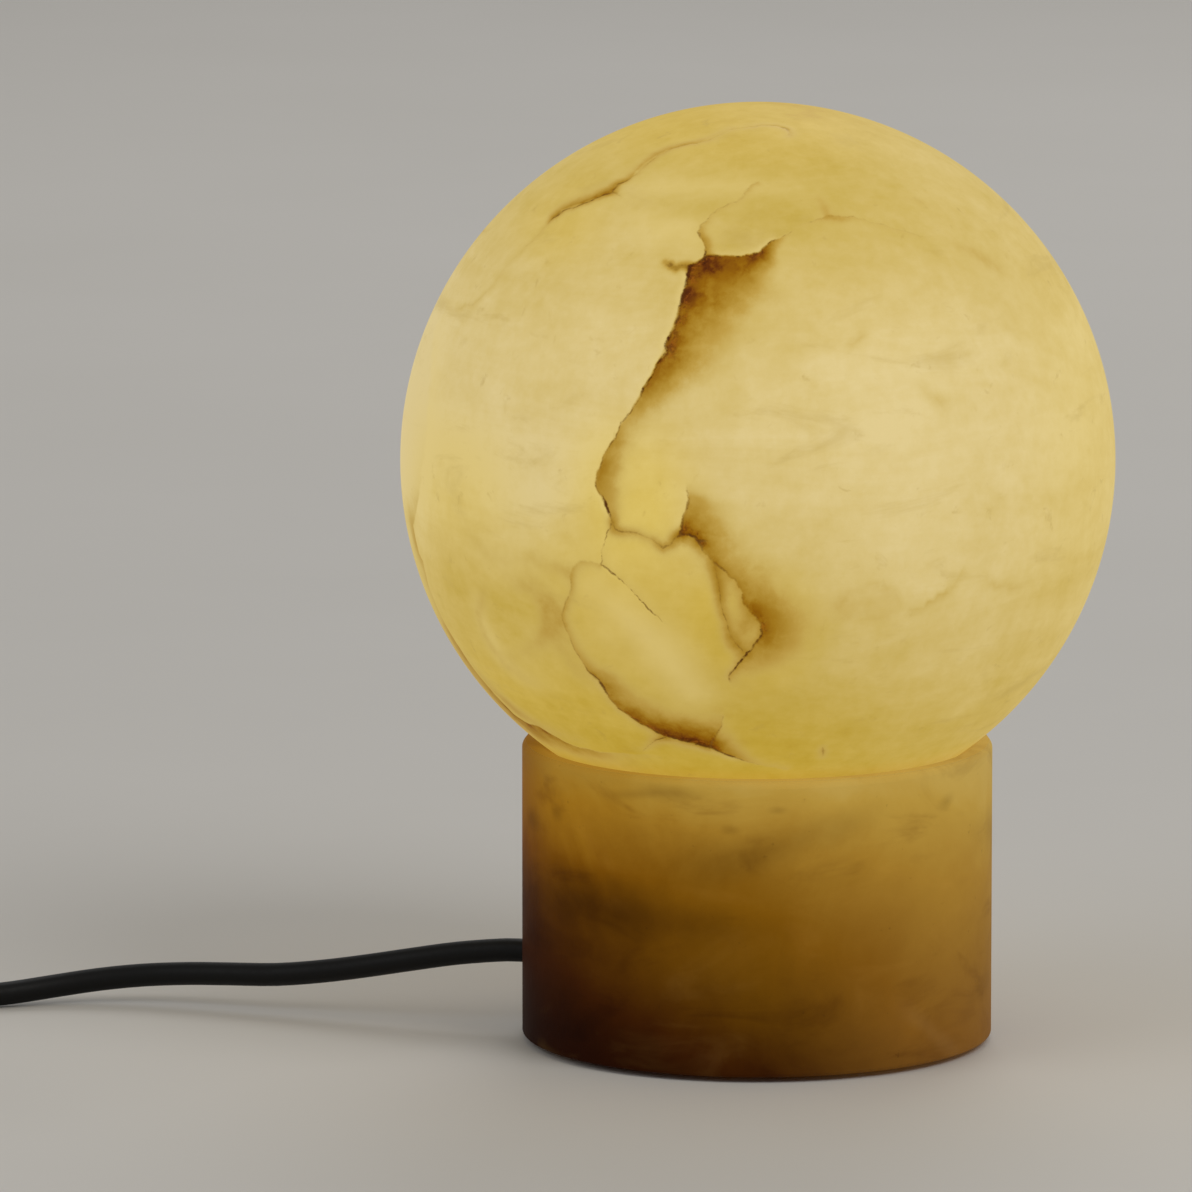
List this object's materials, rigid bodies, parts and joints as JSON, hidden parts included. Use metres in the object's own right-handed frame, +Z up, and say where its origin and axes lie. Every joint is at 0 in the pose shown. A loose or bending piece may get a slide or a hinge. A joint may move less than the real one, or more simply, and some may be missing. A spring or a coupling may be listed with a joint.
{
  "type": "stone globe table lamp",
  "caption": "Glowing veined stone globe resting in the dished top of a turned stone cylinder, with a plug-in bulb on a stem, an in-line rocker switch and a coiled mains cord.",
  "frame": {"origin": "on the table, under the globe's centre, at the middle of the stone base", "axes": "+Z up, +X to the viewer's right in the picture, camera looking along +Y; the cord leaves towards -X"},
  "size_m": [0.4959, 0.2043, 0.2646],
  "materials": {
    "globe_stone": "polished translucent gypsum, honey coloured when lit",
    "base_stone": "polished brown-veined translucent gypsum",
    "felt": "felt",
    "stem_brass": "brushed and lacquered",
    "zinc_steel": "zinc plated",
    "holder_ceramic": "bare white",
    "contact_brass": "plain",
    "wire_insulation": "smooth",
    "pin_metal": "nickel plated",
    "bulb_plastic": "glossy white",
    "bulb_cover": "milky, lit",
    "led_board": "white lacquered",
    "led_phosphor": "yellow phosphor, lit",
    "cord_sheath": "smooth black sheath",
    "grommet_rubber": "black",
    "nylon": "off-white moulded",
    "cover_paint": "black powder coat",
    "foot_rubber": "black",
    "black_plastic": "black moulded",
    "rocker_plastic": "black moulded",
    "strap": "black woven strap"
  },
  "bodies": {
    "lamp": {"base": "base_stone", "seat_ring": "felt", "top_plate": "stem_brass", "stem_sleeve": "stem_brass", "threaded_tube": "zinc_steel", "tube_nuts": "zinc_steel", "tube_washer": "zinc_steel", "holder_cup": "stem_brass", "holder_bracket": "zinc_steel", "holder_screws": "zinc_steel", "holder_body": "holder_ceramic", "holder_contacts": "contact_brass", "holder_wires": "wire_insulation", "chamber_plate": "zinc_steel", "cord_inner": "cord_sheath", "supply_wires": "wire_insulation", "cord_grommet": "grommet_rubber", "clamp_block": "nylon", "clamp_saddle": "nylon", "clamp_screws": "zinc_steel", "terminal_block": "nylon", "terminal_sleeves": "contact_brass", "terminal_screws": "zinc_steel", "bottom_cover": "cover_paint", "cover_screws": "zinc_steel", "cover_inserts": "contact_brass", "rubber_feet": "foot_rubber", "cord_run_a": "cord_sheath", "switch_lower": "black_plastic", "switch_upper": "black_plastic", "switch_sleeves": "grommet_rubber", "switch_screws": "zinc_steel", "switch_contacts": "contact_brass", "switch_wires": "wire_insulation", "cord_run_b": "cord_sheath", "cord_coil": "cord_sheath", "cord_tie": "strap", "cord_tail": "cord_sheath", "plug_body": "black_plastic", "plug_pins": "pin_metal", "pin_sleeves": "black_plastic"},
    "globe": {"globe": "globe_stone"},
    "bulb": {"bulb_pins": "pin_metal", "bulb_base": "bulb_plastic", "bulb_board": "led_board", "bulb_leds": "led_phosphor", "bulb_cover": "bulb_cover"},
    "rocker": {"switch_rocker": "rocker_plastic"}
  },
  "joints": [
    {"name": "globe_lift", "type": "slide", "parent": "lamp", "child": "globe", "axis": [0, 0, 1], "range_m": [0, 0.15]},
    {"name": "bulb_pull", "type": "slide", "parent": "lamp", "child": "bulb", "axis": [0, 0, 1], "range_m": [0, 0.03]},
    {"name": "rocker_tip", "type": "hinge", "parent": "lamp", "child": "rocker", "pos_m": [-0.311, 0.0335, 0.0126], "axis": [0, 1, 0], "range_deg": [0, 16]}
  ]
}
